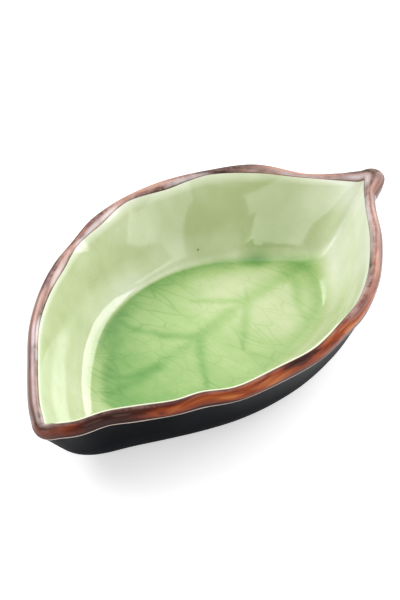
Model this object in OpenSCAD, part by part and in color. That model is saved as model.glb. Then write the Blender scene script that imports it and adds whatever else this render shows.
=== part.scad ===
// Leaf-shaped stoneware dish: a pressed clay body on a bare foot ring, with a pooled crackle glaze
// inside, a brown glaze bead over the wavy lip and a black glaze outside.
// +X runs from the leaf's apex to its stem and +Z is up. The foot stands on Z = 0, and the
// origin lies under the middle of the dish.

/* [Hollow] */
// Length of the pressed hollow at the rim, from apex to stem
bowl_length = 144; // [120:1:180]
// Width of the pressed hollow at the rim
bowl_width = 85; // [70:1:110]
// Depth of the pressed hollow, from the rim to the clay floor
bowl_depth = 22; // [16:0.5:30]
// How far the side walls of the outside slope in on their way down to the base
wall_run = 10; // [7:0.5:13]
// How far the outside slopes in at the apex
apex_run = 18; // [14:0.5:21]
// How far the outside slopes in at the stem
stem_run = 12; // [9:0.5:15]
// How far the flat floor stops short of the foot of that slope at the sides
side_bend = 4.5; // [3:0.5:8]
// How far the flat floor stops short of the foot of that slope at the apex
apex_bend = 13; // [9:0.5:17]
// How far the flat floor stops short of the foot of that slope at the stem
stem_bend = 11; // [6:0.5:14]

/* [Lip and stem] */
// Width of the lip at the crown of a lobe
lobe_lip = 2.9; // [2.6:0.1:4.5]
// Width of the lip in the dip between two lobes
dip_lip = 2; // [1.8:0.1:2.5]
// Height of the lip above its inner edge at the crown of a lobe
lobe_rise = 1.4; // [1.1:0.1:2.5]
// Height of the lip above its inner edge in the dip between two lobes
dip_rise = 0.3; // [0.2:0.1:1]
// How far the lip's outer edge hangs below its inner edge in a dip
dip_drop = 1.8; // [1:0.1:2]
// How far the lip's outer edge hangs below its inner edge at a crown
lobe_drop = 0.5; // [0.3:0.1:0.9]
// How far the stem stub stands out past the lip
stem_length = 4; // [2:0.5:7]
// Width of the stem stub at its root
stem_width = 15; // [12:1:20]
// Angle that the stem stub turns to the right
stem_turn = 14; // [0:1:25]

/* [Base and foot] */
// Thickness of the clay floor
floor_thickness = 3.6; // [3:0.1:6]
// How far the outside stands out from the inside where both walls meet the base
base_margin = 2.5; // [1.5:0.5:5]
// Length of the bend between the outside and the underside
base_bend = 14; // [8:0.5:16]
// Height of the foot ring
foot_height = 2.6; // [1.5:0.1:5]
// Width of the foot ring
foot_width = 4; // [3:0.5:7]
// How far the foot ring stands in from the edge of the flat floor
foot_inset = 4; // [2:0.5:7]

/* [Glaze] */
// Thickness of the green glaze on the floor, where it pools
pool_thickness = 1; // [0.6:0.1:1.4]
// Thickness of the glaze on the inner wall and over the lip
wall_glaze = 0.5; // [0.3:0.05:0.7]
// Thickness of the brown bead at the lower edge of the band
bead_thickness = 0.8; // [0.6:0.05:1]
// Thickness of the black glaze
black_thickness = 0.4; // [0.25:0.05:0.55]
// How far the brown band runs down outside, below the inner edge of the lip
band_drop = 2.6; // [2.4:0.1:5]

/* [Leaf veins] */
// Width of the pressed midrib at the stem
midrib_width = 2.6; // [1.5:0.1:4]
// Width of a side vein at its root
vein_width = 1.8; // [1:0.1:3]
// Depth of the veins in the clay floor
vein_depth = 0.7; // [0.3:0.1:1.2]

/* [Hidden] */

// Rim outline: place along the length, place across in half widths, and 1 on a crown or 0 in a dip
rim_shares = [
    [0.000, -0.14, 0.5], [0.015, -0.06, 0.4], [0.050, 0.08, 0.3], [0.120, 0.31, 0.2],
    [0.205, 0.56, 0.3], [0.290, 0.73, 0.7], [0.370, 0.84, 1.0], [0.445, 0.94, 0.1],
    [0.525, 0.97, 1.0], [0.620, 1.00, 0.1], [0.705, 0.88, 1.0], [0.800, 0.76, 0.1],
    [0.870, 0.51, 1.0], [0.925, 0.20, 0.0], [0.965, -0.01, 0.6], [0.985, -0.11, 0.8],
    [1.000, -0.15, 0.8], [0.970, -0.23, 0.7], [0.925, -0.36, 0.5], [0.845, -0.60, 1.0],
    [0.750, -0.82, 1.0], [0.660, -0.95, 0.5], [0.585, -0.98, 0.9], [0.495, -1.00, 0.2],
    [0.405, -0.94, 0.9], [0.315, -0.85, 0.2], [0.255, -0.71, 0.9], [0.205, -0.62, 0.3],
    [0.145, -0.47, 0.9], [0.100, -0.35, 0.3], [0.045, -0.27, 0.6], [0.015, -0.19, 0.6],
];

// Floor outline, one point for every other rim point: place along the floor, place across in half
// widths, and where the inside corner lies between the floor's edge at 0 and the rim at 1
floor_shares = [
    [0.00, 0.03, 0.30], [0.07, 0.36, 0.36], [0.19, 0.64, 0.43], [0.34, 0.88, 0.36],
    [0.50, 1.00, 0.18], [0.66, 0.93, 0.16], [0.80, 0.70, 0.20], [0.92, 0.30, 0.32],
    [1.00, -0.06, 0.48], [0.95, -0.31, 0.54], [0.85, -0.60, 0.44], [0.70, -0.76, 0.34],
    [0.50, -0.80, 0.30], [0.33, -0.75, 0.28], [0.17, -0.55, 0.28], [0.06, -0.26, 0.30],
];

// Veins on the floor, each from its root: place along the floor and place across
midrib_shares = [[0.97, -0.06], [0.75, 0.03], [0.48, 0.06], [0.24, 0.08], [0.08, 0.17]];
left_vein_shares = [
    [[0.71, 0.03], [0.66, 0.25], [0.60, 0.48]],
    [[0.47, 0.06], [0.41, 0.34], [0.37, 0.66], [0.37, 0.86]],
    [[0.27, 0.08], [0.19, 0.16], [0.15, 0.32]],
];
right_vein_shares = [
    [[0.93, -0.05], [0.88, -0.24], [0.80, -0.50], [0.77, -0.66]],
    [[0.71, 0.03], [0.64, -0.16], [0.52, -0.44]],
    [[0.48, 0.06], [0.38, -0.26], [0.30, -0.54]],
];

// Width and depth of a vein at its tip, and half the width of its bed
tip_share = 0.4;
bed_share = 0.25;

// How much of a wall its bend may take, and how much longer the inside bend is on the wall than on
// the floor
bend_share = 0.6;
wall_leg = 1.5;

// Distance from a tip, as a share of the length, at which the wall begins to lose the rim's waves,
// and over which it loses them
wave_start = 0.1;
wave_fade = 0.1;

// Where the lip is highest between its inner and its outer edge, in a dip and at a crown
dip_crest_share = 0.35;
lobe_crest_share = 0.5;

rim_steps = 4;
smooth_reach = 1.5 * rim_steps;
floor_steps = rim_steps * len(rim_shares) / len(floor_shares);
stations = rim_steps * len(rim_shares);

base_z = foot_height;
clay_floor_z = base_z + floor_thickness;
rim_z = clay_floor_z + bowl_depth;
floor_length = bowl_length - apex_run - apex_bend - stem_bend - stem_run;
floor_half_width = bowl_width / 2 - wall_run - side_bend;
vein_overrun = pool_thickness / 2;

function unit(v) = v / norm(v);
function mix(a, b, share) = a + (b - a) * share;
function flat(p) = [p.x, p.y];
function at(list, i) = list[(i + len(list)) % len(list)];
function mean(list) = [for (v = list) 1] * list / len(list);

// A closed smooth curve through every point of a list
function blend(a, b, c, d, t) =
    b + (c - a) * t / 2 + (a - 2.5 * b + 2 * c - d / 2) * t ^ 2 + (3 * b - a - 3 * c + d) * t ^ 3 / 2;
function closed_curve(points, steps) = [
    for (i = [0:len(points) - 1])
        for (k = [0:steps - 1])
            blend(at(points, i - 1), points[i], at(points, i + 1), at(points, i + 2), k / steps)
];

// A closed curve with each point moved to the middle of its neighbours, which takes its lobes away
function smoothed(curve, reach) = [
    for (i = [0:len(curve) - 1]) mean([for (j = [i - reach:i + reach]) at(curve, j)])
];

// A bend from a to c that leans on the corner b
function bend(a, b, c, t) = mix(mix(a, b, t), mix(b, c, t), t);

// The outward direction of a closed curve that runs clockwise seen from above
function outward(curve) = [
    for (i = [0:len(curve) - 1])
        let (along = flat(at(curve, i + 1)) - flat(at(curve, i - 1)))
        unit([-along.y, along.x])
];

function floor_place(share) = [
    apex_run + apex_bend + floor_length * share.x,
    floor_half_width * share.y
];

raw_rim = closed_curve(
    [for (s = rim_shares) [bowl_length * s.x, bowl_width / 2 * s.y, s.z]],
    rim_steps
);
floor_curve = closed_curve(floor_shares, floor_steps);
raw_floor = [for (s = floor_curve) floor_place(s)];
rim_out = outward(raw_rim);
stem_tip = flat(raw_rim[stations / 2]);
apex_tip = flat(raw_rim[0]);

// The stem stub pulls the outer edge of the lip out where the rim is near the stem's end
function stub_share(i) =
    let (away = norm(flat(raw_rim[i]) - stem_tip) / (stem_width / 2))
    away < 1 ? cos(90 * away) : 0;
stub_way = [cos(stem_turn), -sin(stem_turn)];
lip_out = [
    for (i = [0:stations - 1])
        rim_out[i] * mix(dip_lip, lobe_lip, raw_rim[i].z) + stub_way * stem_length * stub_share(i)
];

// The plan's bounding box, with the glaze, gives the shift that centres the dish on the origin
outer_plan = [for (i = [0:stations - 1]) flat(raw_rim[i]) + lip_out[i] + rim_out[i] * wall_glaze];
plan_x = [for (p = outer_plan) p.x];
plan_y = [for (p = outer_plan) p.y];
centre = [min(plan_x) + max(plan_x), min(plan_y) + max(plan_y)] / 2;

rim = [for (p = raw_rim) flat(p) - centre];
crown = [for (p = raw_rim) p.z];
floor_edge = [for (p = raw_floor) p - centre];

function raise(p, z) = [p.x, p.y, z];
function inner_edge(i) = raise(rim[i], rim_z);
function lip_crest(i) = mix(dip_rise, lobe_rise, crown[i]);
function lip_drop(i) = mix(dip_drop, lobe_drop, crown[i]);
function crest_share(i) = mix(dip_crest_share, lobe_crest_share, crown[i]);

// The rim without its waves, except near the tips, is what the wall runs up to
even_rim = smoothed(raw_rim, smooth_reach);
function waves_lost(p) =
    let (gap = min(norm(p - apex_tip), norm(p - stem_tip)) / bowl_length)
    min(1, max(0, (gap - wave_start) / wave_fade));
soft_rim = [
    for (i = [0:stations - 1])
        let (p = flat(raw_rim[i]))
        mix(p, flat(even_rim[i]), waves_lost(p)) - centre
];
function soft_edge(i) = raise(soft_rim[i], rim_z);

// The line where the straight part of the outer wall would meet the underside
corner_line = [
    for (p = even_rim)
        [
            mix(apex_run, bowl_length - stem_run, p.x / bowl_length),
            mix(p.y, 0, wall_run / (bowl_width / 2))
        ] - centre
];
corner_out = outward(corner_line);

// Inside of the clay, from the floor up to the inner edge of the lip
function floor_bend_point(i, t) =
    let (
        start = raise(floor_edge[i], clay_floor_z),
        corner = raise(mix(floor_edge[i], soft_rim[i], floor_curve[i].z), clay_floor_z),
        wall = soft_edge(i) - corner,
        reach = min(norm(corner - start) * wall_leg, norm(wall) * bend_share)
    )
    bend(start, corner, corner + unit(wall) * reach, t);
function wall_point(i, t) =
    mix(floor_bend_point(i, 1), soft_edge(i), t) + (inner_edge(i) - soft_edge(i)) * t ^ 4;

// Over the lip, in two quarter ellipses that meet at its crest
function lip_point(i, share, height) = raise(rim[i] + lip_out[i] * share, rim_z + height);
function inner_lip_point(i, angle) =
    lip_point(i, crest_share(i) * (1 - cos(angle)), lip_crest(i) * sin(angle));
function outer_lip_point(i, angle) =
    lip_point(
        i,
        mix(crest_share(i), 1, sin(angle)),
        mix(-lip_drop(i), lip_crest(i), cos(angle))
    );

// Outside of the clay, from the lip down to the foot
function foot_line(i, inset) =
    let (middle = floor_place([0.5, 0]) - centre, p = floor_edge[i] - middle)
    middle + [p.x * (1 - inset / (floor_length / 2)), p.y * (1 - inset / floor_half_width)];
function base_bend_point(i, t) =
    let (
        corner = raise(corner_line[i] + corner_out[i] * base_margin, base_z),
        up = outer_lip_point(i, 90) - corner,
        inward = raise(foot_line(i, foot_inset), base_z) - corner
    )
    bend(
        corner + unit(up) * min(base_bend, norm(up) * bend_share),
        corner,
        corner + unit(inward) * min(base_bend, norm(inward) * bend_share),
        t
    );
function band_end(i) =
    let (top = outer_lip_point(i, 90), bottom = base_bend_point(i, 0))
    mix(top, bottom, (top.z - rim_z + band_drop) / (top.z - bottom.z));
function outer_wall_point(i, t) = mix(band_end(i), base_bend_point(i, 0), t);

bends = [0, 1 / 3, 2 / 3, 1];
thirds = [1 / 3, 2 / 3, 1];
lip_angles = [30, 60, 90];

lining_rings = concat(
    [for (t = bends) [for (i = [0:stations - 1]) floor_bend_point(i, t)]],
    [for (t = thirds) [for (i = [0:stations - 1]) wall_point(i, t)]]
);
lip_rings = concat(
    [for (a = lip_angles) [for (i = [0:stations - 1]) inner_lip_point(i, a)]],
    [for (a = lip_angles) [for (i = [0:stations - 1]) outer_lip_point(i, a)]],
    [[for (i = [0:stations - 1]) mix(outer_lip_point(i, 90), band_end(i), 0.5)]],
    [[for (i = [0:stations - 1]) band_end(i)]]
);
outer_rings = concat(
    [for (t = thirds) [for (i = [0:stations - 1]) outer_wall_point(i, t)]],
    [for (t = thirds) [for (i = [0:stations - 1]) base_bend_point(i, t)]],
    [[for (i = [0:stations - 1]) raise(foot_line(i, foot_inset), base_z)]]
);
clay_rings = concat(lining_rings, lip_rings, outer_rings);
lining_end = len(lining_rings) - 1;
band_ring = lining_end + len(lip_rings);
last_ring = len(clay_rings) - 1;

// How far the green glaze has thinned from the pool's thickness to the wall's, at each of its rings
thin_shares = [0, 0, 0.2, 0.55, 0.9, 1, 1];

// The direction out of the clay at station i of ring k
function clay_normal(k, i) =
    k == 0 ? [0, 0, 1] :
    k >= last_ring - 1 ? [0, 0, -1] :
    let (
        along = at(clay_rings[k], i + 1) - at(clay_rings[k], i - 1),
        up = clay_rings[k + 1][i] - clay_rings[k - 1][i]
    )
    unit(cross(along, up));
function glazed(k, thickness) = [
    for (i = [0:stations - 1]) clay_rings[k][i] + clay_normal(k, i) * thickness
];

// Faces between two rings that follow each other, and flat faces across a ring
function band_faces(k, m) = [
    for (i = [0:stations - 1])
        let (j = (i + 1) % stations)
        [k * stations + i, m * stations + i, m * stations + j, k * stations + j]
];
function cap_faces(k) = [
    for (i = [0:stations / 2 - 1])
        [for (j = [i, i + 1, stations - i - 1, (stations - i) % stations]) k * stations + j]
];
function reversed(list) = [for (i = [len(list) - 1:-1:0]) list[i]];

// A solid whose skin is a stack of rings, closed by a flat face at each end
module capped_solid(rings) {
    last = len(rings) - 1;
    faces = concat(
        cap_faces(0),
        [for (k = [0:last - 1]) each band_faces(k, k + 1)],
        [for (f = cap_faces(last)) reversed(f)]
    );
    polyhedron(points = [for (r = rings) each r], faces = faces, convexity = 6);
}

// A solid whose skin is a stack of rings that comes back to its first ring
module looped_solid(rings) {
    faces = [for (k = [0:len(rings) - 1]) each band_faces(k, (k + 1) % len(rings))];
    polyhedron(points = [for (r = rings) each r], faces = faces, convexity = 6);
}

function rings_from(first, last) = [for (k = [first:last]) clay_rings[k]];
function glaze_over(first, last, thickness) =
    [for (k = [first:last]) glazed(k, thickness)];

// A vein is a groove that narrows from its root to its tip
function vein_section(p, side, width, share) =
    let (
        half = width / 2 * mix(1, tip_share, share),
        deep = vein_depth * mix(1, tip_share, share),
        rise = vein_overrun / vein_depth * half
    )
    [
        raise(p - side * (half + rise), clay_floor_z + vein_overrun),
        raise(p - side * half * bed_share, clay_floor_z - deep),
        raise(p + side * half * bed_share, clay_floor_z - deep),
        raise(p + side * (half + rise), clay_floor_z + vein_overrun)
    ];
module vein(shares, width) {
    line = [for (s = shares) floor_place(s) - centre];
    last = len(line) - 1;
    sections = [
        for (i = [0:last])
            let (along = unit(line[min(i + 1, last)] - line[max(i - 1, 0)]))
            vein_section(line[i], [-along.y, along.x], width, i / last)
    ];
    sides = 4;
    faces = concat(
        [[for (j = [0:sides - 1]) j]],
        [
            for (i = [0:last - 1])
                for (j = [0:sides - 1])
                    let (n = (j + 1) % sides)
                    [i * sides + j, (i + 1) * sides + j, (i + 1) * sides + n, i * sides + n]
        ],
        [[for (j = [sides - 1:-1:0]) last * sides + j]]
    );
    polyhedron(points = [for (s = sections) each s], faces = faces);
}
module veins() {
    vein(midrib_shares, midrib_width);
    for (shares = concat(left_vein_shares, right_vein_shares)) vein(shares, vein_width);
}

module clay_body() {
    color("tan")
    difference() {
        capped_solid(clay_rings);
        veins();
    }
}

module foot_ring() {
    color("peru")
    linear_extrude(height = foot_height)
    difference() {
        polygon([for (i = [0:stations - 1]) foot_line(i, foot_inset)]);
        polygon([for (i = [0:stations - 1]) foot_line(i, foot_inset + foot_width)]);
    }
}

module green_glaze_lining() {
    color("yellowgreen")
    union() {
        capped_solid(concat(
            [
                for (k = [0:lining_end])
                    glazed(k, mix(pool_thickness, wall_glaze, thin_shares[k]))
            ],
            reversed(rings_from(0, lining_end))
        ));
        veins();
    }
}

module brown_rim_glaze() {
    color("saddlebrown")
    looped_solid(concat(
        glaze_over(lining_end, band_ring - 1, wall_glaze),
        [glazed(band_ring, bead_thickness), glazed(band_ring, black_thickness)],
        reversed(rings_from(lining_end, band_ring))
    ));
}

module black_outer_glaze() {
    color("black")
    union() {
        looped_solid(concat(
            glaze_over(band_ring, last_ring, black_thickness),
            reversed(rings_from(band_ring, last_ring))
        ));
        translate([0, 0, base_z - black_thickness])
        linear_extrude(height = black_thickness)
        polygon([for (i = [0:stations - 1]) foot_line(i, foot_inset + foot_width)]);
    }
}

clay_body();
foot_ring();
green_glaze_lining();
brown_rim_glaze();
black_outer_glaze();
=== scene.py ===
import math

import bpy
import numpy as np
from mathutils import Matrix, Vector


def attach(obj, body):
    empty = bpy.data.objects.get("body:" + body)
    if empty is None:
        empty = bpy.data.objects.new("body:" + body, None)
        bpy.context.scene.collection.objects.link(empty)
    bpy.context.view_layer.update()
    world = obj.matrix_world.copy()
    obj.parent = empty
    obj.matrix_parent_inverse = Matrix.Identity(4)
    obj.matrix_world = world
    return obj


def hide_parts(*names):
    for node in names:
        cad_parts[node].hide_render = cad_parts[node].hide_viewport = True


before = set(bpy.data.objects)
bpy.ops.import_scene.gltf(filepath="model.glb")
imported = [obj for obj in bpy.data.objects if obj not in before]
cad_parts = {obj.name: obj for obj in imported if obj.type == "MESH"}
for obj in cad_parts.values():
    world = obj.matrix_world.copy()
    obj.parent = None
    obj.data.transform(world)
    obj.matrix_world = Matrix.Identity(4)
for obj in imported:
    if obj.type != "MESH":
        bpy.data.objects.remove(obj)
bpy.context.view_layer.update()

# Sizes of the dish in millimetres, the same as in the part's source
BOWL_LENGTH, BOWL_WIDTH, BOWL_DEPTH = 144, 85, 22
WALL_RUN, APEX_RUN, STEM_RUN = 10, 18, 12
SIDE_BEND, APEX_BEND, STEM_BEND = 4.5, 13, 11
LOBE_LIP, DIP_LIP = 2.9, 2.0
LOBE_RISE, DIP_RISE = 1.4, 0.3
DIP_DROP, LOBE_DROP = 1.8, 0.5
STEM_LENGTH, STEM_WIDTH, STEM_TURN = 4, 15, math.radians(14)
FLOOR_THICKNESS, BASE_MARGIN, BASE_BEND = 3.6, 2.5, 14
FOOT_HEIGHT, FOOT_WIDTH, FOOT_INSET = 2.6, 4, 4
POOL, WALL_GLAZE, BEAD, BLACK = 1, 0.5, 0.8, 0.4
BAND_DROP = 2.6
MIDRIB_WIDTH, VEIN_WIDTH, VEIN_TIP = 2.6, 1.8, 0.4
BEND_SHARE, WALL_LEG = 0.6, 1.5
WAVE_START, WAVE_FADE, WAVE_POWER = 0.1, 0.1, 4
DIP_CREST, LOBE_CREST = 0.35, 0.5
MM = 0.001
# The skin's stem ends this much sooner than the solid's, so that the finer curve stays in its box
STEM_EASE = 0.3

# Rim outline: place along, place across in half widths, and 1 on a crown or 0 in a dip
RIM_SHARES = [
    (0.000, -0.14, 0.5), (0.015, -0.06, 0.4), (0.050, 0.08, 0.3), (0.120, 0.31, 0.2),
    (0.205, 0.56, 0.3), (0.290, 0.73, 0.7), (0.370, 0.84, 1.0), (0.445, 0.94, 0.1),
    (0.525, 0.97, 1.0), (0.620, 1.00, 0.1), (0.705, 0.88, 1.0), (0.800, 0.76, 0.1),
    (0.870, 0.51, 1.0), (0.925, 0.20, 0.0), (0.965, -0.01, 0.6), (0.985, -0.11, 0.8),
    (1.000, -0.15, 0.8), (0.970, -0.23, 0.7), (0.925, -0.36, 0.5), (0.845, -0.60, 1.0),
    (0.750, -0.82, 1.0), (0.660, -0.95, 0.5), (0.585, -0.98, 0.9), (0.495, -1.00, 0.2),
    (0.405, -0.94, 0.9), (0.315, -0.85, 0.2), (0.255, -0.71, 0.9), (0.205, -0.62, 0.3),
    (0.145, -0.47, 0.9), (0.100, -0.35, 0.3), (0.045, -0.27, 0.6), (0.015, -0.19, 0.6),
]
# Floor outline: place along, place across in half widths, and how far the inside corner is on the
# way from there to the rim
FLOOR_SHARES = [
    (0.00, 0.03, 0.30), (0.07, 0.36, 0.36), (0.19, 0.64, 0.43), (0.34, 0.88, 0.36),
    (0.50, 1.00, 0.18), (0.66, 0.93, 0.16), (0.80, 0.70, 0.20), (0.92, 0.30, 0.32),
    (1.00, -0.06, 0.48), (0.95, -0.31, 0.54), (0.85, -0.60, 0.44), (0.70, -0.76, 0.34),
    (0.50, -0.80, 0.30), (0.33, -0.75, 0.28), (0.17, -0.55, 0.28), (0.06, -0.26, 0.30),
]
# Veins of the leaf: width, and places on the floor from the thick end to the thin one
VEIN_SHARES = [
    (MIDRIB_WIDTH, [(0.97, -0.06), (0.75, 0.03), (0.48, 0.06), (0.24, 0.08), (0.08, 0.17)]),
    (VEIN_WIDTH, [(0.71, 0.03), (0.66, 0.25), (0.60, 0.48)]),
    (VEIN_WIDTH, [(0.47, 0.06), (0.41, 0.34), (0.37, 0.66), (0.37, 0.86)]),
    (VEIN_WIDTH, [(0.27, 0.08), (0.19, 0.16), (0.15, 0.32)]),
    (VEIN_WIDTH, [(0.93, -0.05), (0.88, -0.24), (0.80, -0.50), (0.77, -0.66)]),
    (VEIN_WIDTH, [(0.71, 0.03), (0.64, -0.16), (0.52, -0.44)]),
    (VEIN_WIDTH, [(0.48, 0.06), (0.38, -0.26), (0.30, -0.54)]),
]

# Stations round each ring, STRIDE of them for each one of the part, how many of them on each side
# a curve is smoothed over, and rings over each stretch
RIM_STEPS, PART_STEPS = 16, 4
STRIDE = RIM_STEPS // PART_STEPS
STATIONS = RIM_STEPS * len(RIM_SHARES)
FLOOR_STEPS = STATIONS // len(FLOOR_SHARES)
APEX, STEM = 0, STATIONS // 2
RIM_REACH, LIP_HIGHLIGHT_REACH = 6 * STRIDE, 4 * STRIDE
FLOOR_RINGS, BEND_RINGS, WALL_RINGS, LIP_RINGS, BAND_RINGS = 56, 12, 26, 9, 8
OUTER_RINGS, BASE_RINGS, UNDER_RINGS = 18, 14, 8

BASE_Z = FOOT_HEIGHT
CLAY_FLOOR_Z = BASE_Z + FLOOR_THICKNESS
RIM_Z = CLAY_FLOOR_Z + BOWL_DEPTH
HALF_WIDTH = BOWL_WIDTH / 2
FLOOR_LENGTH = BOWL_LENGTH - APEX_RUN - APEX_BEND - STEM_BEND - STEM_RUN
FLOOR_HALF = HALF_WIDTH - WALL_RUN - SIDE_BEND


def mix(a, b, share):
    return a + (b - a) * share


def unit(v):
    return v / np.maximum(np.linalg.norm(v, axis=-1, keepdims=True), 1e-9)


def smooth(x, low, high):
    t = np.clip((x - low) / (high - low), 0, 1)
    return t * t * (3 - 2 * t)


def column(a):
    return np.asarray(a)[:, None]


# Point of a smooth curve that runs from b to c, with a before them and d after them
def curve_point(a, b, c, d, t):
    return (
        b + (c - a) * t / 2
        + (a - 2.5 * b + 2 * c - d / 2) * t**2
        + (3 * b - a - 3 * c + d) * t**3 / 2
    )


# Outlines in plan, all with the same stations, clockwise seen from above
def closed_curve(points, steps_each):
    b = np.array(points, float)
    a, c, d = np.roll(b, 1, 0), np.roll(b, -1, 0), np.roll(b, -2, 0)
    rows = [curve_point(a, b, c, d, k / steps_each) for k in range(steps_each)]
    return np.stack(rows, 1).reshape(-1, b.shape[1])


def smoothed(curve, reach):
    return np.mean([np.roll(curve, j, 0) for j in range(-reach, reach + 1)], 0)


def outward(curve):
    along = np.roll(curve, -STRIDE, 0) - np.roll(curve, STRIDE, 0)
    return unit(np.stack([-along[:, 1], along[:, 0]], 1))


def floor_place(shares):
    s = np.array(shares, float)
    return np.stack([APEX_RUN + APEX_BEND + FLOOR_LENGTH * s[..., 0], FLOOR_HALF * s[..., 1]], -1)


rim_points = [(BOWL_LENGTH * x, HALF_WIDTH * y, c) for x, y, c in RIM_SHARES]
raw = closed_curve(rim_points, RIM_STEPS)
raw_rim, crown = raw[:, :2], np.clip(raw[:, 2], 0, 1)
rim_out = outward(raw_rim)
floor_shares = closed_curve(FLOOR_SHARES, FLOOR_STEPS)
raw_floor, corner_share = floor_place(floor_shares[:, :2]), np.clip(floor_shares[:, 2], 0, 1)

# Lip, drawn out into a nub at the stem, and the middle of the part's outline, which is the origin
away = np.linalg.norm(raw_rim - raw_rim[STEM], axis=1) / (STEM_WIDTH / 2)
stub = np.where(away < 1, np.cos(np.pi / 2 * np.minimum(away, 1)), 0)
stub_way = np.array([math.cos(STEM_TURN), -math.sin(STEM_TURN)])
lip_width = rim_out * column(mix(DIP_LIP, LOBE_LIP, crown))
lip_out = lip_width + stub_way * (STEM_LENGTH - STEM_EASE) * column(stub)
plan = raw_rim + lip_width + stub_way * STEM_LENGTH * column(stub) + rim_out * WALL_GLAZE
plan = plan[::STRIDE]
centre = (plan.min(0) + plan.max(0)) / 2
rim = raw_rim - centre
floor_edge = raw_floor - centre
middle = floor_place([0.5, 0]) - centre

# Rim that the wall runs up to, which has no waves except near the tips
even_rim = smoothed(raw_rim, RIM_REACH)
tips = raw_rim[[APEX, STEM]]
tip_gap = np.linalg.norm(raw_rim[:, None] - tips, axis=2).min(1) / BOWL_LENGTH
waves_lost = np.clip((tip_gap - WAVE_START) / WAVE_FADE, 0, 1)
soft_rim = mix(raw_rim, even_rim, column(waves_lost)) - centre

# Foot of the wall, from which the outside's corner stands off by a margin
corner_x = mix(APEX_RUN, BOWL_LENGTH - STEM_RUN, even_rim[:, 0] / BOWL_LENGTH)
corner_y = mix(even_rim[:, 1], 0, WALL_RUN / HALF_WIDTH)
corner_line = np.stack([corner_x, corner_y], 1) - centre
corner_out = outward(corner_line)

crest_share = mix(DIP_CREST, LOBE_CREST, crown)
lip_crest = mix(DIP_RISE, LOBE_RISE, crown)
lip_drop = mix(DIP_DROP, LOBE_DROP, crown)


# Points in plan, raised to a height or to one height each
def raised(p, z):
    return np.column_stack([p, np.broadcast_to(z, len(p))])


# Bend that leaves a towards b and reaches c coming from b
def bend(a, b, c, t):
    return mix(mix(a, b, t), mix(b, c, t), t)


inner_edge = raised(rim, RIM_Z)
soft_edge = raised(soft_rim, RIM_Z)


# The clay's own surface, ring by ring, as in the part's source
def floor_bend(t):
    start = raised(floor_edge, CLAY_FLOOR_Z)
    corner = raised(mix(floor_edge, soft_rim, column(corner_share)), CLAY_FLOOR_Z)
    wall = soft_edge - corner
    reach = np.minimum(
        np.linalg.norm(corner - start, axis=1) * WALL_LEG,
        np.linalg.norm(wall, axis=1) * BEND_SHARE,
    )
    return bend(start, corner, corner + unit(wall) * column(reach), t)


def wall_ring(t):
    return mix(floor_bend(1), soft_edge, t) + (inner_edge - soft_edge) * t**WAVE_POWER


def lip_point(share, height):
    return raised(rim + lip_out * column(share), RIM_Z + height)


def inner_lip(angle):
    return lip_point(crest_share * (1 - math.cos(angle)), lip_crest * math.sin(angle))


def outer_lip(angle):
    height = mix(-lip_drop, lip_crest, math.cos(angle))
    return lip_point(mix(crest_share, 1, math.sin(angle)), height)


def foot_line(inset):
    share = 1 - inset / np.array([FLOOR_LENGTH / 2, FLOOR_HALF])
    return middle + (floor_edge - middle) * share


def base_leg(way):
    return unit(way) * column(np.minimum(BASE_BEND, np.linalg.norm(way, axis=1) * BEND_SHARE))


def base_bend(t):
    corner = raised(corner_line + corner_out * BASE_MARGIN, BASE_Z)
    up = outer_lip(math.pi / 2) - corner
    inward = raised(foot_line(FOOT_INSET), BASE_Z) - corner
    return bend(corner + base_leg(up), corner, corner + base_leg(inward), t)


# Even steps up to 1, without the 0 that the ring before them is at
def steps(count):
    return [k / count for k in range(1, count + 1)]


lip_edge, wall_foot = outer_lip(math.pi / 2), base_bend(0)
foot_top = raised(foot_line(FOOT_INSET), BASE_Z)
drop_share = (lip_edge[:, 2] - RIM_Z + BAND_DROP) / (lip_edge[:, 2] - wall_foot[:, 2])
band_end = mix(lip_edge, wall_foot, column(drop_share))

lining = [floor_bend(t) for t in [0] + steps(BEND_RINGS)]
lining += [wall_ring(t) for t in steps(WALL_RINGS)]
lip = [inner_lip(math.pi / 2 * t) for t in steps(LIP_RINGS)]
lip += [outer_lip(math.pi / 2 * t) for t in steps(LIP_RINGS)]
lip += [mix(lip_edge, band_end, t) for t in steps(BAND_RINGS)]
outside = [mix(band_end, wall_foot, t) for t in steps(OUTER_RINGS)]
outside += [base_bend(t) for t in steps(BASE_RINGS)]
outside += [mix(base_bend(1), foot_top, t) for t in steps(UNDER_RINGS)]
clay = np.array(lining + lip + outside)
EDGE = len(lining) - 1
BAND = EDGE + len(lip)
LAST = len(clay) - 1

# The direction out of the clay everywhere on that surface
around = np.roll(clay, -STRIDE, 1) - np.roll(clay, STRIDE, 1)
climb = np.empty_like(clay)
climb[1:-1] = clay[2:] - clay[:-2]
climb[0], climb[-1] = clay[1] - clay[0], clay[-1] - clay[-2]
normal = unit(np.cross(around, climb))
normal[0] = (0, 0, 1)
normal[LAST - UNDER_RINGS:] = (0, 0, -1)


# Ring of the clay covered with glaze of this thickness
def glazed(k, thickness):
    return clay[k] + normal[k] * np.asarray(thickness).reshape(-1, 1)


# Meshes from rings of stations, closed into a tube or ended by a cap at the first and last ring
SHARP_ANGLE = math.radians(50)


def ring_faces(k, m):
    i = np.arange(STATIONS)
    j = (i + 1) % STATIONS
    return np.stack([k * STATIONS + i, m * STATIONS + i, m * STATIONS + j, k * STATIONS + j], 1)


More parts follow.
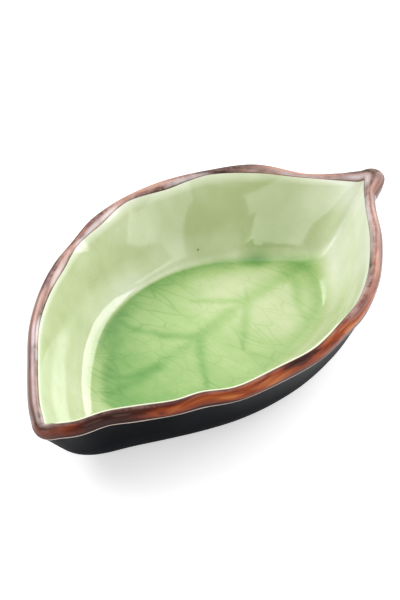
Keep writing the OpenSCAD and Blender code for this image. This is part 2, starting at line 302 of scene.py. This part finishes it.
def make_piece(name, rings, closed, replaced, attributes=()):
    count = len(rings)
    points = np.concatenate(rings)
    faces = [ring_faces(k, (k + 1) % count) for k in range(count if closed else count - 1)]
    faces = np.concatenate(faces).tolist()
    values = {}
    for key, rows in attributes:
        values[key] = np.concatenate([np.broadcast_to(v, STATIONS) for v in rows])
    if not closed:
        ends = [rings[0].mean(0), rings[-1].mean(0)]
        top, bottom = len(points), len(points) + 1
        points = np.vstack([points, ends])
        last = (count - 1) * STATIONS
        for i in range(STATIONS):
            j = (i + 1) % STATIONS
            faces.append([top, i, j])
            faces.append([bottom, last + j, last + i])
        for key in values:
            values[key] = np.append(values[key], [values[key][0], values[key][-1]])
    mesh = bpy.data.meshes.new(name)
    mesh.from_pydata((points * MM).tolist(), [], faces)
    mesh.validate()
    mesh.shade_smooth()
    mesh.set_sharp_from_angle(angle=SHARP_ANGLE)
    for key, value in values.items():
        attribute = mesh.attributes.new(key, "FLOAT", "POINT")
        attribute.data.foreach_set("value", np.asarray(value, np.float32))
    piece = bpy.data.objects.new(name, mesh)
    bpy.context.scene.collection.objects.link(piece)
    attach(piece, "root")
    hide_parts(replaced)
    return piece


# Shallow unevenness of a hand-made surface, as a sum of plain waves over the plan
RIPPLES, RIPPLE_PITCH, RIPPLE_SUM = 5, 0.055, 2.3
RIPPLE_START, RIPPLE_TURN, RIPPLE_SHIFT = 1.3, 2.4, 3


def unevenness(p):
    x, y = p[..., 0], p[..., 1]
    total = 0
    for k in range(1, RIPPLES + 1):
        turn = RIPPLE_START + RIPPLE_TURN * k
        way = x * math.cos(turn) + y * math.sin(turn)
        total = total + np.sin(way * RIPPLE_PITCH * k + turn * RIPPLE_SHIFT) / k
    return total / RIPPLE_SUM


# Veins: how near each point of the floor is to a vein, 1 on its line
VEIN_STEPS = 10


def open_curve(points, steps_each):
    p = np.array(points, float)
    p = np.vstack([2 * p[0] - p[1], p, 2 * p[-1] - p[-2]])
    out = []
    for i in range(1, len(p) - 2):
        out += [curve_point(*p[i - 1 : i + 3], k / steps_each) for k in range(steps_each)]
    return np.array(out + [p[-2]])


def vein_share(p, spread):
    found = np.zeros(len(p))
    for width, shares in VEIN_SHARES:
        line = open_curve(floor_place(shares) - centre, VEIN_STEPS)
        taper = np.linspace(1, VEIN_TIP, len(line))
        for k in range(len(line) - 1):
            a, b = line[k], line[k + 1]
            t = np.clip(((p - a) @ (b - a)) / ((b - a) @ (b - a)), 0, 1)
            gap = np.linalg.norm(p - (a + column(t) * (b - a)), axis=1)
            size = mix(taper[k], taper[k + 1], t)
            found = np.maximum(found, np.exp(-((gap / (width * size * spread)) ** 2)) * size)
    return found


# Tone of the green glaze: 0 is thin and pale, 1 is deep. A pair says where a share of it begins
# and where it is full, in mm from the middle to the apex (-x), stem (x), far (y) or near side (-y).
# The wall is pale in the apex's half and at its tip, beside the stem and on the near side; this is
# partly the glaze's own paleness and partly painted light on the brightly lit ends.
APEX_HALF, APEX_HALF_SHARE = (-36, -14), 0.7
APEX_TIP, APEX_TIP_SHARE = (15, 50), 0.3
STEM_END = (15, 45)
STEM_FAR, STEM_FAR_SHARE = (-12, -3), 0.7
STEM_NEAR, STEM_NEAR_SHARE = (-2, 6), 0.6
NEAR_WALL = (15, 30)


# How pale the wall's glaze is, partly as painted light on the bright end walls: 1 at the two ends
# of the leaf, 0 on the long far wall
def end_pale_and_lit(p):
    x, y = p[:, 0], p[:, 1]
    apex = APEX_HALF_SHARE * smooth(-x, *APEX_HALF) + APEX_TIP_SHARE * smooth(-x, *APEX_TIP)
    sides = STEM_FAR_SHARE * smooth(-y, *STEM_FAR) + STEM_NEAR_SHARE * smooth(-y, *STEM_NEAR)
    stem = smooth(x, *STEM_END) * sides
    return np.maximum(np.maximum(apex, stem), smooth(-y, *NEAR_WALL))


# The pool is deeper towards the apex and along its edge, most on the far side, and shallow at the
# stem, on the near side and in a margin round the apex. The two widths are in mm.
POOL_TONE = 0.475
POOL_APEX, APEX_DEEPER = (-4, 34), 0.32
POOL_FAR, FAR_EDGE_DEEPER, FAR_STEM_DEEPER = (4, 20), 0.14, 0.1
POOL_NEAR, NEAR_PALER = (2, 16), 0.07
POOL_STEM, STEM_PALER, STEM_EDGE_KEPT = (2, 26), 0.26, 0.7
POOL_MARGIN, MARGIN_PALER, MARGIN_WIDTH = (12, 30), 0.5, 5
EDGE_WIDTH, EDGE_POWER, EDGE_DEEPER = 4.5, 1.5, 0.12


# How deep the pool looks at places on the floor, inset by so many mm from its edge
def pool_tone(p, inset):
    x, y = p[:, 0], p[:, 1]
    edge = np.exp(-((inset / EDGE_WIDTH) ** EDGE_POWER))
    far = smooth(y, *POOL_FAR)
    apex = smooth(-x, *POOL_APEX)
    stem = smooth(x, *POOL_STEM) * (1 - STEM_EDGE_KEPT * edge)
    margin = smooth(-x, *POOL_MARGIN) * smooth(MARGIN_WIDTH - inset, 0, MARGIN_WIDTH)
    near = smooth(-y, *POOL_NEAR) * (1 - apex)
    deep = POOL_TONE + APEX_DEEPER * apex + edge * (EDGE_DEEPER + FAR_EDGE_DEEPER * far)
    deep -= NEAR_PALER * near
    return deep - STEM_PALER * stem + FAR_STEM_DEEPER * far * stem - MARGIN_PALER * margin


# The wall is paler at its ends, partly as painted light, and up its height, and deeper beside the
# apex, except right at the rim. Low on the far side, at the apex's foot and beside the stem on the
# near side it is made paler as painted light and painted sheen. LOW_WALL and RIM_FADE are shares of
# its height.
WALL_TONE, END_PALE_AND_LIT, UP_PALER = 0.68, 0.38, 0.06
LOW_WALL, RIM_FADE = (0, 0.4), (0, 0.3)
BESIDE_APEX, BESIDE_APEX_DEEPER = (15, 45), 0.14
FAR_WALL, FAR_FOOT_LIGHT = (2, 14), 0.2
FOOT_AT_STEM, FOOT_AT_STEM_DEEPER = (34, 46), 0.1
FOOT_IN_MIDDLE, FOOT_IN_MIDDLE_PALER = (-20, -2), 0.14
FOOT_AT_APEX, FOOT_AT_APEX_DEEPER = (2, 26), 0.3
APEX_FOOT, APEX_FOOT_SHEEN = (8, 35), 0.08
NEAR_STEM_LIGHT = 0.14


# How deep the wall's glaze looks, where up is the share of the wall's height
def wall_tone(p, up):
    x, y = p[:, 0], p[:, 1]
    low = 1 - smooth(up, *LOW_WALL)
    deep = WALL_TONE - END_PALE_AND_LIT * end_pale_and_lit(p) - UP_PALER * up
    deep += BESIDE_APEX_DEEPER * (1 - low) * smooth(-x, *BESIDE_APEX) * smooth(1 - up, *RIM_FADE)
    # Painted light: the far wall's foot is made paler where shade falls on it, by amounts that
    # change along it
    far_foot_light = FAR_FOOT_LIGHT - FOOT_AT_STEM_DEEPER * smooth(x, *FOOT_AT_STEM)
    far_foot_light += FOOT_IN_MIDDLE_PALER * smooth(-x, *FOOT_IN_MIDDLE)
    far_foot_light -= FOOT_AT_APEX_DEEPER * smooth(-x, *FOOT_AT_APEX)
    deep -= low * smooth(y, *FAR_WALL) * far_foot_light
    # Painted light on the near wall beside the stem, and a painted sheen low at the apex's foot
    near_stem_light = NEAR_STEM_LIGHT * smooth(x, *STEM_END) * smooth(-y, *STEM_NEAR)
    return deep - (APEX_FOOT_SHEEN * low * smooth(-x, *APEX_FOOT) + near_stem_light)


# Green lining: dense rings over the floor, then the bend and the wall, then back along the clay
VEIN_DIP, FLOOR_SWELL, SWELL_FADE = 0.05, 0.05, (0, 0.1)
DIP_SPREAD, COLOUR_SPREAD = 0.8, 1.3
THINNING = (0.3, 1.6)
BEND_PALER, WALL_EASE = 0.12, (0, 0.5)
BACK_TONE, BACK_STEP = 0.3, 3

green_rings, tone, vein, wall = [], [], [], []
edge_spot = floor_edge - middle
for ring in range(FLOOR_RINGS):
    share = (ring + 0.5) / FLOOR_RINGS
    p = middle + edge_spot * share
    swell = FLOOR_SWELL * unevenness(p) * smooth(1 - share, *SWELL_FADE)
    top = CLAY_FLOOR_Z + POOL - VEIN_DIP * vein_share(p, DIP_SPREAD) + swell
    green_rings.append(raised(p, top))
    vein.append(vein_share(p, COLOUR_SPREAD))
    tone.append(pool_tone(p, np.linalg.norm(edge_spot, axis=1) * (1 - share)))
    wall.append(0)
for k in range(EDGE + 1):
    t = min(k / BEND_RINGS, 1)
    up = max((k - BEND_RINGS) / WALL_RINGS, 0)
    p = clay[k][:, :2]
    green_rings.append(glazed(k, mix(POOL, WALL_GLAZE, smooth(t + up, *THINNING))))
    foot_tone = pool_tone(p, 0) - BEND_PALER * t
    on_wall = smooth(t, *WALL_EASE)
    tone.append(mix(foot_tone, wall_tone(p, up), on_wall))
    vein.append(vein_share(p, COLOUR_SPREAD) * (1 - t))
    wall.append((on_wall + up) / 2)
for k in range(EDGE, -1, -BACK_STEP):
    green_rings.append(clay[k])
    tone.append(BACK_TONE)
    vein.append(0)
    wall.append(0)
green = make_piece(
    "green_glaze", green_rings, False, "green_glaze_lining",
    [("tone", tone), ("vein", vein), ("wall", wall)],
)

# Brown lip: from the green's edge over the crest and down to a round bead. On the side towards the
# near side and the apex, a pale painted highlight in the colour of the inside's thin glaze runs up
# to the crest before the brown starts. Its reach is in shares of the way from the edge, at 0, to
# the crest, at 1.
LIP_HIGHLIGHT_SIDE, LIP_HIGHLIGHT_EASE = unit(np.array([-0.6, -0.8])), (0.35, 0.75)
LIP_HIGHLIGHT_FROM, LIP_HIGHLIGHT_TO = -1, 0.9
lip_highlight_share = mix(LIP_HIGHLIGHT_FROM, LIP_HIGHLIGHT_TO, smooth(corner_out @ LIP_HIGHLIGHT_SIDE, *LIP_HIGHLIGHT_EASE))
lip_highlight_end = smoothed(lip_highlight_share, LIP_HIGHLIGHT_REACH)


# Thickness of the brown glaze, which swells to a bead and ends level with the black
def brown_thickness(k):
    if k == BAND:
        return BLACK
    down = max(0, (k - BAND + BAND_RINGS) / BAND_RINGS)
    return WALL_GLAZE + (BEAD - WALL_GLAZE) * math.sin(math.pi / 2 * down)


front, back = list(range(EDGE, BAND + 1)), list(range(BAND, EDGE - 1, -2))
brown_rings = [glazed(k, brown_thickness(k)) for k in front] + [clay[k] for k in back]
across = [(k - EDGE) / (BAND - EDGE) for k in front + back]
over = [(k - EDGE) / LIP_RINGS - lip_highlight_end for k in front + back]
brown = make_piece(
    "brown_lip_glaze", brown_rings, True, "brown_rim_glaze",
    [("across", across), ("over", over)],
)

# Black outside: down to the foot, and a disc inside the foot ring that is thinner at its edge
black_rings = [glazed(k, BLACK) for k in range(BAND, LAST + 1)]
black_rings += [clay[k] for k in range(LAST, BAND - 1, -2)]
black = make_piece("black_glaze", black_rings, True, "black_outer_glaze")

DISC_SHARES, DISC_THINNER = (0.97, 0.75, 0.5, 0.25), BLACK / 3
inner_foot = foot_line(FOOT_INSET + FOOT_WIDTH)
disc_rings = [raised(inner_foot, z) for z in (BASE_Z, BASE_Z - BLACK + DISC_THINNER)]
for share in DISC_SHARES:
    disc_rings.append(raised(middle + (inner_foot - middle) * share, BASE_Z - BLACK))
under = make_piece("black_underside", disc_rings, False, "black_outer_glaze")

# Foot ring with softened edges: how far in from the floor's outline, and how high
EASE = 0.5
NIP = 0.3 * EASE
FOOT_PROFILE = [
    (0, BASE_Z), (0, EASE), (NIP, NIP), (EASE, 0),
    (FOOT_WIDTH - EASE, 0), (FOOT_WIDTH - NIP, NIP), (FOOT_WIDTH, EASE), (FOOT_WIDTH, BASE_Z),
]
foot_rings = [raised(foot_line(FOOT_INSET + inset), z) for inset, z in FOOT_PROFILE]
foot = make_piece("foot", foot_rings, True, "foot_ring")


# Materials, with colours given as sRGB from 0 to 255
def srgb(r, g, b):
    out = []
    for v in (r, g, b):
        v = v / 255
        out.append(v / 12.92 if v <= 0.04045 else ((v + 0.055) / 1.055) ** 2.4)
    return (*out, 1)


# Short calls for the nodes that the materials are made of
class Nodes:
    def __init__(self, tree):
        self.tree = tree

    def put(self, socket, value):
        if isinstance(value, bpy.types.NodeSocket):
            self.tree.links.new(value, socket)
        else:
            socket.default_value = value

    def node(self, kind, inputs=None, output=0, **settings):
        n = self.tree.nodes.new("ShaderNode" + kind)
        for key, value in settings.items():
            setattr(n, key, value)
        for key, value in (inputs or {}).items():
            self.put(n.inputs[key], value)
        return n.outputs[output]

    def math(self, operation, a, b, clamp=False):
        return self.node("Math", {0: a, 1: b}, operation=operation, use_clamp=clamp)

    def plus(self, a, b, clamp=False):
        return self.math("ADD", a, b, clamp)

    def minus(self, a, b, clamp=False):
        return self.math("SUBTRACT", a, b, clamp)

    def times(self, first, *factors):
        for factor in factors:
            first = self.math("MULTIPLY", first, factor)
        return first

    def span(self, value, low, high, to_low=0.0, to_high=1.0):
        return self.node(
            "MapRange",
            {
                "Value": value, "From Min": low, "From Max": high,
                "To Min": to_low, "To Max": to_high,
            },
        )

    # 1 between two places, easing in before the first and out after the second
    def band(self, value, start, full, falling, end):
        return self.times(self.span(value, start, full), self.span(value, end, falling))

    def value(self, name):
        return self.node("Attribute", output="Fac", attribute_name=name)

    def position(self, scale=(1, 1, 1)):
        coordinates = self.node("TexCoord", output="Object")
        return self.node("Mapping", {"Vector": coordinates, "Scale": scale})

    def axis(self, place, name):
        return self.node("SeparateXYZ", {"Vector": place}, output=name)

    def shifted(self, place, shift):
        return self.node("VectorMath", {0: place, 1: shift}, operation="ADD")

    def distance(self, place, spot):
        return self.node("VectorMath", {0: place, 1: spot}, output="Value", operation="DISTANCE")

    def noise(self, vector, scale, detail, rough=0.5, distortion=0.0):
        inputs = {"Vector": vector, "Scale": scale, "Detail": detail}
        inputs.update({"Roughness": rough, "Distortion": distortion})
        return self.node("TexNoise", inputs)

    def ramp(self, value, stops):
        n = self.tree.nodes.new("ShaderNodeValToRGB")
        self.put(n.inputs[0], value)
        elements = n.color_ramp.elements
        while len(elements) < len(stops):
            elements.new(0.5)
        for element, (place, colour) in zip(elements, stops):
            element.position = place
            element.color = srgb(*colour)
        return n.outputs[0]

    def blend(self, share, a, b):
        n = self.tree.nodes.new("ShaderNodeMix")
        n.data_type = "RGBA"
        self.put(n.inputs[0], share)
        self.put(n.inputs[6], a)
        self.put(n.inputs[7], b)
        return n.outputs[2]

    def bump(self, height, distance, strength):
        return self.node("Bump", {"Height": height, "Distance": distance, "Strength": strength})


# A material that starts out with nothing but its output
class Material(Nodes):
    def __init__(self, name):
        self.material = bpy.data.materials.new(name)
        self.material.use_nodes = True
        super().__init__(self.material.node_tree)
        self.tree.nodes.clear()
        self.out = self.tree.nodes.new("ShaderNodeOutputMaterial")

    def shade(self, shader):
        self.tree.links.new(shader, self.out.inputs[0])
        return self.material

    def finish(self, **inputs):
        named = {key.replace("_", " "): value for key, value in inputs.items()}
        return self.shade(self.node("BsdfPrincipled", named))


# Most of a noise's values lie within this
NOISE = (0.3, 0.7)

# Marks of the glaze seen in the photo, in metres: a deeper pooled spot, a shallow pit and a dark
# speck, each with the distances between which it changes
POOLED_SPOT, POOLED_REACH = (0.0394, 0.0117, 0.0076), (0.001, 0.006)
PIT, PIT_REACH = (0.0414, 0.0133, 0.0099), (0.0004, 0.0024)
SPECK, SPECK_REACH, SPECK_COLOUR = (0.0282, 0.0252, 0.0105), (0.0005, 0.0003), (96, 84, 50)

# Colours of the green glaze by its tone, as a pool on the floor and as a thin coat on the wall
POOL_COLOURS = [
    (0.0, (222, 231, 196)), (0.25, (201, 215, 164)), (0.5, (170, 198, 128)),
    (0.8, (122, 168, 88)), (1.0, (94, 150, 68)),
]
COAT_COLOURS = [
    (0.0, (238, 241, 226)), (0.25, (214, 222, 187)), (0.6, (175, 188, 133)), (1.0, (140, 164, 94)),
]
COAT_FROM, THIN_AND_SHEEN_FROM = (0.05, 0.6), (0.93, 1.0)
VEIN_TONE, SPOT_TONE, THIN_AND_SHEEN_TONE = 0.26, 0.38, 0.45
BROAD_TONE, FINE_TONE = (-0.1, 0.1), (-0.03, 0.03)
SPECK_SHARE, PIT_DEPTH, CRACK_DEPTH = 0.7, 1.2, -0.02

# Craze lines: long ones and short ones, with how much they show from the stem's side to the apex's
LONG_CRAZE = {"scale": 210.0, "stretch": 0.3, "width": 0.05}
SHORT_CRAZE = {"scale": 380.0, "stretch": 0.4, "width": 0.07}
LONG_EVEN, LONG_PATCHY, SHORT_PATCHY = 0.15, 0.85, 0.7
WARP_SCALE, WARP_REACH = 0.5, 0.9
CRAZE_X, CRAZE_TONE, CRAZE_ON_WALL = (0.03, -0.04), (0.09, 0.15), 0.3


# Fine craze lines between cells that are drawn out across the leaf
def craze(t, scale, stretch, width):
    place = t.position((1, stretch, 1))
    warp = {"Vector": place, "Scale": WARP_SCALE * scale, "Detail": 1.0}
    warp = t.node("TexNoise", warp, output="Color")
    shift = t.node("VectorMath", {0: warp, "Scale": WARP_REACH / scale}, operation="SCALE")
    cells = {"Vector": t.shifted(place, shift), "Scale": scale}
    gap = t.node("TexVoronoi", cells, feature="DISTANCE_TO_EDGE")
    return t.span(gap, 0.0, width, 1, 0)


def green_material():
    t = Material("green_crackle_glaze")
    place = t.position()
    wall = t.value("wall")
    broad = t.noise(place, scale=38, detail=3, rough=0.55)
    fine = t.noise(place, scale=160, detail=3, rough=0.6)
    # The craze lines are strong in some patches and faint in others
    patchy = t.span(t.noise(place, scale=55, detail=2), 0.4, 0.62)
    other = t.span(t.noise(place, scale=90, detail=2), 0.6, 0.42)
    long_share = t.plus(t.times(patchy, LONG_PATCHY), LONG_EVEN)
    long_lines = t.times(craze(t, **LONG_CRAZE), long_share)
    short_lines = t.times(craze(t, **SHORT_CRAZE), t.times(other, SHORT_PATCHY))
    cracks = t.math("MAXIMUM", long_lines, short_lines)
    shown = t.span(t.axis(place, "X"), *CRAZE_X, *CRAZE_TONE)
    shown = t.times(t.span(wall, 0.0, COAT_FROM[1], 1, CRAZE_ON_WALL), shown)
    # The mesh's own tone, its veins, unevenness, the pooled spot, the lines and the thin upper
    # edge, which is partly a painted highlight
    tone = t.plus(t.value("tone"), t.times(t.value("vein"), VEIN_TONE))
    tone = t.plus(tone, t.span(broad, *NOISE, *BROAD_TONE))
    tone = t.plus(tone, t.span(fine, *NOISE, *FINE_TONE))
    tone = t.plus(tone, t.span(t.distance(place, POOLED_SPOT), *POOLED_REACH, SPOT_TONE, 0))
    tone = t.plus(tone, t.times(cracks, shown))
    # The thin upper edge is paler: partly thin glaze and partly a painted highlight
    tone = t.minus(tone, t.times(t.span(wall, *THIN_AND_SHEEN_FROM), THIN_AND_SHEEN_TONE), clamp=True)
    pool, coat = t.ramp(tone, POOL_COLOURS), t.ramp(tone, COAT_COLOURS)
    colour = t.blend(t.span(wall, *COAT_FROM), pool, coat)
    speck = t.span(t.distance(place, SPECK), *SPECK_REACH, 0, SPECK_SHARE)
    pit = t.span(t.distance(place, PIT), *PIT_REACH, PIT_DEPTH, 0)
    height = t.minus(t.noise(place, scale=45, detail=2), pit)
    height = t.plus(height, t.times(cracks, CRACK_DEPTH))
    return t.finish(
        Base_Color=t.blend(speck, colour, srgb(*SPECK_COLOUR)),
        Roughness=t.span(fine, *NOISE, 0.06, 0.1),
        IOR=1.6,
        Normal=t.bump(height, distance=0.0004, strength=0.4),
    )


# Brown glaze by its depth, from pooled and near black to thin and coppery
BROWN_COLOURS = [
    (0.0, (38, 9, 6)), (0.3, (80, 22, 11)), (0.6, (146, 64, 26)), (0.95, (206, 124, 62)),
]
# Zones across the lip, from 0 at the green glaze over the crest to 1 at the black: where a band
# starts, is full, falls and ends, or where something else begins and is full
THIN_FACE, CREST = (0.16, 0.4, 0.6, 0.88), (0.04, 0.1, 0.3, 0.46)
HIGHLIGHT_STRIP, LEFT_HIGHLIGHT_STRIP = (0.05, 0.12, 0.17, 0.3), (0.26, 0.32, 0.38, 0.44)
OUTER_FACE, INNER_LINE = (0.36, 0.48), (0.0, 0.05)
DARK_END, BEAD_HIGHLIGHT_LINE = (0.76, 0.86), (0.88, 0.91)
# Places along and across the leaf, in metres, between which a side of the lip changes
TIP_X, LEFT_X, APEX_X, STEM_X = (-0.046, -0.062), (-0.028, -0.045), (-0.015, -0.05), (0.02, 0.045)
FAR_Y = (-0.012, 0.006)
STREAK_DRIFT, THIN_LIGHTER, TIP_DARKER = 0.06, 0.26, 0.48


def brown_material():
    t = Material("brown_lip_glaze")
    place = t.position()
    x, y = t.axis(place, "X"), t.axis(place, "Y")
    across, over = t.value("across"), t.value("over")
    # Streaks run along the lip, so their pattern changes faster across it
    drift = t.node("CombineXYZ", {"Z": t.times(across, STREAK_DRIFT)})
    along = t.shifted(place, drift)
    streaks = t.noise(along, scale=58, detail=2, rough=0.55, distortion=0.4)
    zones = t.noise(place, scale=34, detail=1, rough=0.4)
    fine = t.noise(place, scale=700, detail=2)
    # The glaze runs thin and coppery on the outer face and stays dark at the edges of the band. It
    # has pooled darker round the tip of the leaf.
    depth = t.plus(
        t.span(zones, 0.38, 0.62, -0.26, 0.2),
        t.span(streaks, 0.38, 0.64, -0.14, 0.44),
    )
    depth = t.plus(depth, t.times(t.band(across, *THIN_FACE), THIN_LIGHTER))
    depth = t.minus(depth, t.times(t.span(x, *TIP_X), TIP_DARKER))
    # Painted sheen and painted highlights in patches round the crest, most on the far side and at
    # the stem
    far_side = t.span(y, *FAR_Y)
    left_side = t.times(far_side, t.span(x, *LEFT_X))
    far_and_stem_side = t.math("MAXIMUM", far_side, t.span(x, *STEM_X))
    patches = t.span(t.noise(place, scale=30, detail=1), 0.44, 0.6)
    patches = t.plus(patches, t.times(far_and_stem_side, 0.4), clamp=True)
    broken = t.span(t.noise(place, scale=420, detail=3, rough=0.6), 0.4, 0.62, 0.15, 0.7)
    highlight_patches = t.span(t.noise(place, scale=60, detail=2), 0.44, 0.6)
    highlight_patches = t.times(highlight_patches, t.span(far_and_stem_side, 0, 1, 0.3, 0.8))
    left_highlight_patches = t.span(t.noise(place, scale=48, detail=2), 0.36, 0.56, 0.1, 0.75)
    # Each coat, by where it is and its colour, lies over the ones before it
    coats = [
        # paler streaks, partly thin glaze and partly painted sheen, then a darker outer face, on
        # the far side and at the stem
        (t.times(far_and_stem_side, t.span(streaks, 0.38, 0.6), 0.6), (196, 160, 146)),
        (t.times(t.span(across, *OUTER_FACE), t.span(far_and_stem_side, 0, 1, 0, 0.8)), (84, 40, 28)),
        # painted sheen in patches on the crest, with a painted highlight strip inside it and a
        # second one on the left
        (t.times(t.band(across, *CREST), patches, broken), (192, 164, 156)),
        (t.times(t.band(across, *HIGHLIGHT_STRIP), highlight_patches), (222, 214, 220)),
        (t.times(t.band(across, *LEFT_HIGHLIGHT_STRIP), left_highlight_patches, left_side), (220, 208, 214)),
        # dark line beside the green, dark end of the band, and a thin painted highlight along the
        # bead it ends in
        (t.span(across, *INNER_LINE, 0.85, 0), (44, 26, 18)),
        (t.times(t.span(across, *DARK_END), 0.8), (40, 18, 13)),
        (t.times(t.span(across, *BEAD_HIGHLIGHT_LINE), t.span(x, *APEX_X, 0.65, 0.95)), (232, 214, 200)),
        # a pale painted highlight in the colour of the inside's glaze, with a dark line where the
        # brown starts
        (t.span(over, 0.3, 0.05, 0, 0.7), (60, 28, 20)),
        (t.span(over, 0.06, -0.06), (236, 238, 212)),
    ]
    colour = t.ramp(depth, BROWN_COLOURS)
    for share, coat in coats:
        colour = t.blend(share, colour, srgb(*coat))
    return t.finish(
        Base_Color=colour,
        Roughness=t.span(fine, *NOISE, 0.07, 0.13),
        IOR=1.5,
        Specular_IOR_Level=0.3,
        Specular_Tint=(1.0, 0.65, 0.55, 1.0),
        Normal=t.bump(t.plus(streaks, t.times(fine, 0.12)), distance=0.0005, strength=0.35),
    )


def black_material():
    t = Material("black_glaze")
    place = t.position()
    broad = t.noise(place, scale=40, detail=3)
    fine = t.noise(place, scale=420, detail=2)
    return t.finish(
        Base_Color=t.ramp(broad, [(0.35, (14, 16, 19)), (0.65, (26, 29, 33))]),
        Roughness=t.span(fine, *NOISE, 0.14, 0.2),
        IOR=1.45,
        Specular_IOR_Level=0.15,
        Specular_Tint=(0.8, 0.9, 1.0, 1.0),
        Normal=t.bump(t.plus(broad, t.times(fine, 0.05)), distance=0.0004, strength=0.3),
    )


def stoneware_material(name, light, dark):
    t = Material(name)
    place = t.position()
    grain = t.noise(place, scale=900, detail=4, rough=0.7)
    specks = t.span(t.noise(place, scale=2600, detail=2), 0.62, 0.7)
    colour = t.blend(specks, t.ramp(grain, [(0.35, dark), (0.65, light)]), srgb(70, 48, 34))
    bump = t.bump(grain, distance=0.0002, strength=0.6)
    return t.finish(Base_Color=colour, Roughness=0.85, Normal=bump)


green_skin, brown_skin, black_skin = green_material(), brown_material(), black_material()
foot_skin = stoneware_material("bare_stoneware", (176, 142, 108), (140, 106, 78))
clay_skin = stoneware_material("stoneware", (190, 168, 140), (160, 136, 108))
clay_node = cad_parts["clay_body"]
clay_node.data.materials.clear()
for piece, skin in [
    (green, green_skin), (brown, brown_skin), (black, black_skin),
    (under, black_skin), (foot, foot_skin), (clay_node, clay_skin),
]:
    piece.data.materials.append(skin)


# Direction from the dish to a lamp or the camera, by azimuth and elevation in degrees
def direction(azimuth, elevation):
    a, e = math.radians(azimuth), math.radians(elevation)
    return math.sin(a) * math.cos(e), -math.cos(a) * math.cos(e), math.sin(e)


# Camera at the photograph's view, aimed at the middle of the rim, with lengths in mm
AZIMUTH, ELEVATION, DISTANCE, AIM_ACROSS = -50.26, 39.6, 700, -0.7
FOCUS_PX, FRAME_PX, SHIFT_UP_PX, SENSOR = 2419, 600, 12.2, 36
target = np.array([BOWL_LENGTH / 2 - centre[0], AIM_ACROSS - centre[1], RIM_Z]) * MM
to_camera = np.array(direction(AZIMUTH, ELEVATION))
camera_data = bpy.data.cameras.new("camera")
camera_data.sensor_width = SENSOR
camera_data.lens = FOCUS_PX / FRAME_PX * SENSOR
camera_data.shift_y = -SHIFT_UP_PX / FRAME_PX
camera = bpy.data.objects.new("camera", camera_data)
camera.location = Vector(target + to_camera * DISTANCE * MM)
camera.rotation_euler = Vector(-to_camera).to_track_quat("-Z", "Y").to_euler()
bpy.context.scene.collection.objects.link(camera)
bpy.context.scene.camera = camera

# Floor, white to the camera and in reflections, with the object's own shadow
FLOOR_REACH, FLOOR_Z = 3.0, -0.0001
FLOOR_WHITE, PAINTED_SHADOW_GREY, FLOOR_GLOW = 0.86, 0.16, 0.5
# Half length and half width of the oval, in metres, that doesn't glow, and where the glow begins
# and is full, in shares of them
DARK_OVAL, GLOW_EASE = (0.077, 0.046), (0.8, 1.3)
CORNERS = [(-1, -1), (1, -1), (1, 1), (-1, 1)]
floor_mesh = bpy.data.meshes.new("floor")
floor_mesh.from_pydata([(x, y, FLOOR_Z) for x, y in CORNERS], [], [(0, 1, 2, 3)])
floor_mesh.transform(Matrix.Diagonal((FLOOR_REACH, FLOOR_REACH, 1, 1)))
stage_floor = bpy.data.objects.new("floor", floor_mesh)
bpy.context.scene.collection.objects.link(stage_floor)
f = Material("floor")
ray = f.tree.nodes.new("ShaderNodeLightPath").outputs
mirrored = f.plus(ray["Is Glossy Ray"], ray["Is Transmission Ray"], clamp=True)
# The glow that reflections see stops short of the dish, and there the floor's colour is painted
# dark for reflections, a painted shadow that its glaze shows
to_oval = (1 / DARK_OVAL[0], 1 / DARK_OVAL[1], 0)
coordinates = f.node("TexCoord", output="Object")
spot = f.node("VectorMath", {0: coordinates, 1: to_oval}, operation="MULTIPLY")
reach = f.node("VectorMath", {0: spot}, output="Value", operation="LENGTH")
open_floor = f.span(reach, *GLOW_EASE)
seen = f.plus(ray["Is Camera Ray"], f.times(mirrored, open_floor), clamp=True)
# Reflections see the floor's colour painted dark beneath the dish, a painted shadow
shade = f.times(ray["Is Glossy Ray"], f.minus(1.0, open_floor))
diffuse = f.node("BsdfDiffuse", {"Color": f.span(shade, 0, 1, FLOOR_WHITE, PAINTED_SHADOW_GREY)})
glow = f.node("Emission", {"Color": (1, 1, 1, 1), "Strength": f.times(seen, FLOOR_GLOW)})
floor_mesh.materials.append(f.shade(f.node("AddShader", {0: diffuse, 1: glow})))

# Surround: white where it is seen or mirrored, and a soft fill light on the object
WORLD_LIGHT = 0.15
world = bpy.data.worlds.new("world")
bpy.context.scene.world = world
world.use_nodes = True
sky = Nodes(world.node_tree)
ray = sky.tree.nodes.new("ShaderNodeLightPath").outputs
seen = sky.plus(ray["Is Camera Ray"], ray["Is Glossy Ray"], clamp=True)
seen = sky.plus(seen, ray["Is Transmission Ray"], clamp=True)
background = sky.tree.nodes["Background"].inputs
sky.put(background["Color"], (1, 1, 1, 1))
sky.put(background["Strength"], sky.span(seen, 0, 1, WORLD_LIGHT, 1))

# Soft lamps round the dish, so many metres away: azimuth and elevation, width and height as angles
# in degrees, and brightness
LAMP_DISTANCE = 1.2
LAMPS = [
    ("window_right", 78, 22, 56, 46, 3.9),
    ("window_back", -173, 46, 70, 28, 3.2),
    ("veil_right", 14, 18, 36, 28, 1.6),
    ("veil_left", -72, 22, 52, 34, 1.9),
    ("top", 0, 88, 70, 70, 0.7),
]
for name, azimuth, elevation, width, height, brightness in LAMPS:
    way = Vector(direction(azimuth, elevation))
    data = bpy.data.lights.new(name, "AREA")
    data.shape = "RECTANGLE"
    data.size = 2 * LAMP_DISTANCE * math.tan(math.radians(width / 2))
    data.size_y = 2 * LAMP_DISTANCE * math.tan(math.radians(height / 2))
    data.energy = brightness * math.pi * data.size * data.size_y
    lamp = bpy.data.objects.new(name, data)
    lamp.location = way * LAMP_DISTANCE
    lamp.rotation_euler = way.to_track_quat("Z", "Y").to_euler()
    bpy.context.scene.collection.objects.link(lamp)

bpy.context.scene.view_settings.view_transform = "Standard"
